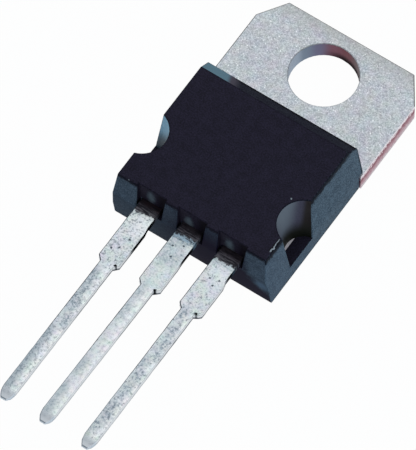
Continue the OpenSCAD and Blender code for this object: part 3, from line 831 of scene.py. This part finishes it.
def makeMoulding():
    plan = mouldingPlan
    piece = copyOfNode("body", "moulding", epoxies)
    mesh = piece.data
    low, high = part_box("body")
    air = BVHTree.FromPolygons([v.co.copy() for v in mesh.vertices], [tuple(p.vertices) for p in mesh.polygons])

    def outward(edge, middle):
        # a convex edge near the outside from which a straight line leaves the piece, so nothing inside is touched
        if not edge.is_convex or min(*(middle - low), *(high - middle)) > plan["skin"]:
            return False
        way = (edge.link_faces[0].normal + edge.link_faces[1].normal).normalized()
        return air.ray_cast(middle + way * plan["rayStart"], way)[0] is None

    for face in mesh.polygons:
        n, c = face.normal, face.center
        toAxis = Vector((math.copysign(plan["notchX"], c.x) - c.x, plan["notchY"] - c.y))
        inPocket = abs(n.x) > plan["across"] or c.y > low.y + 0.9 * plan["pocketDepth"]
        atPocket = c.y < low.y + plan["pocketBack"] and c.z > plan["pocketZ"] and abs(c.x) < plan["pocketsReach"]
        kind = "wall"
        if abs(n.z) > plan["level"]:
            kind = "face"
        elif min(n.y, n.z) > plan["leaning"]:
            kind = "step"
        elif toAxis.length < plan["notchReach"] and n.xy.dot(toAxis.normalized()) > plan["hollow"]:
            kind = "notch"
        elif inPocket and atPocket:
            kind = "pocket"
        elif n.y < -plan["across"]:
            kind = "end"
        face.material_index = epoxyKinds.index(kind)
    roundEdges(piece, plan["edgeRadius"], outward, slot=epoxyKinds.index("edge"))
    # the two halves of the mould meet in a crisp line
    selectVertices(piece, lambda at: abs(at.z - plan["partingZ"]) < 0.01 * mm)
    bpy.ops.mesh.select_mode(type="EDGE")
    bpy.ops.mesh.mark_sharp()
    bpy.ops.object.mode_set(mode="OBJECT")
    for face in mesh.polygons:
        if face.material_index == epoxyKinds.index("edge") and abs(face.normal.z) < plan["upright"]:
            face.material_index = epoxyKinds.index("end" if abs(face.center.x) < plan["pocketsReach"] else "wall")
    handIn(piece, "body")


tabPlan = {"leadCut": -12.0 * mm, "edgeRadius": 0.05 * mm, "lip": 5.0 * mm, "clearOfMoulding": -4.5 * mm,
           "holeRim": 2.2 * mm, "upright": 0.5, "rounded": (0.1, 0.97), "facing": 0.2}


def makeTab():
    plan = tabPlan
    piece = copyOfNode("heat_tab", "tabPlate", [nickel, sheared, nickelEdgeShade])
    front, wall, thin = range(3)  # the slots of these three finishes
    cutAcross(piece, plan["leadCut"], use_fill=True, clear_inner=True)
    for face in piece.data.polygons:
        if abs(face.normal.z) < plan["upright"] and face.center.y > plan["clearOfMoulding"]:
            face.material_index = wall

    def allButLip(edge, at):
        # the right-hand edge has a torn lip and is sharp
        return edge.is_convex and at.y > plan["clearOfMoulding"] and at.x < plan["lip"]

    roundEdges(piece, plan["edgeRadius"], allButLip, slot=front)
    least, most = plan["rounded"]
    # the rounded far edges, away from the hole, take the dark edge finish: painted shade
    for face in piece.data.polygons:
        n = face.normal
        if least < n.z < most and max(n.y, -n.x) > plan["facing"] and face.center.xy.length > plan["holeRim"]:
            face.material_index = thin
    handIn(piece, "heat_tab")


leadShape = {"outside": -12.2 * mm, "topRadius": 0.05 * mm, "footRadius": 0.09 * mm, "cuts": 40, "waveSize": 0.4 * mm,
             "waveHeight": 0.03 * mm, "bendsAt": -16.6 * mm, "sideReach": 0.5 * mm, "facing": 0.2, "tip": 0.08 * mm}


def makeLead(name):
    plan, own = leadShape, leadPlans[name]
    piece = copyOfNode(own["node"], name, [dippedTin(name), tinEdgeShade])
    if own["node"] == "heat_tab":
        cutAcross(piece, tabPlan["leadCut"], use_fill=True, clear_outer=True)
    low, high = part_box("input_lead")
    middle = (low.z + high.z) / 2
    cutAcross(piece, plan["outside"])

    def atFoot(edge, at):
        return edge.is_convex and at.y < plan["outside"] and at.z < middle

    def onTop(edge, at):
        # the top's edges are rounded and carry the painted shade of the dark edge finish, except on the right, where
        # the tin has filled out to a sharp one
        right = max(face.normal.x for face in edge.link_faces) > plan["facing"]
        return edge.is_convex and at.y < plan["outside"] and at.z > middle and not right

    roundEdges(piece, plan["footRadius"], atFoot, segments=3)
    roundEdges(piece, plan["topRadius"], onTop, slot=1)
    # the dipped tin is not quite even
    for step in range(plan["cuts"]):
        cutAcross(piece, plan["outside"] + (low.y - plan["outside"]) * (step + 0.5) / plan["cuts"])
    cutAcross(piece, low.y + plan["tip"])
    waves = bpy.data.textures.new("tinWaves", "CLOUDS")
    waves.noise_scale = plan["waveSize"]
    uneven = piece.modifiers.new("uneven", "DISPLACE")
    uneven.texture, uneven.strength, uneven.mid_level = waves, plan["waveHeight"], 0.5
    bpy.ops.object.modifier_apply(modifier="uneven")
    # the right-hand side steps in or out a little, and the narrow part leans to the left
    outside = [v.co.x for v in piece.data.vertices if v.co.y < plan["outside"]]
    centre = sum(outside) / len(outside)
    start, end, sideways = own["edgeStep"]
    selectVertices(piece, lambda at: at.x > centre + plan["sideReach"] and end * mm < at.y < start * mm)
    bpy.ops.transform.translate(value=(sideways * mm, 0, 0))
    bpy.ops.object.mode_set(mode="OBJECT")
    selectVertices(piece, lambda at: at.y < plan["bendsAt"])
    bpy.ops.transform.rotate(value=math.radians(own["lean"]), orient_axis="Z",
                             center_override=(centre, plan["bendsAt"], middle))
    bpy.ops.mesh.select_all(action="DESELECT")
    bpy.ops.object.mode_set(mode="OBJECT")
    handIn(piece, own["node"])


makeMoulding()
print("moulding made")
makeTab()
print("tab made")
for name in leadPlans:
    makeLead(name)
print("leads made")
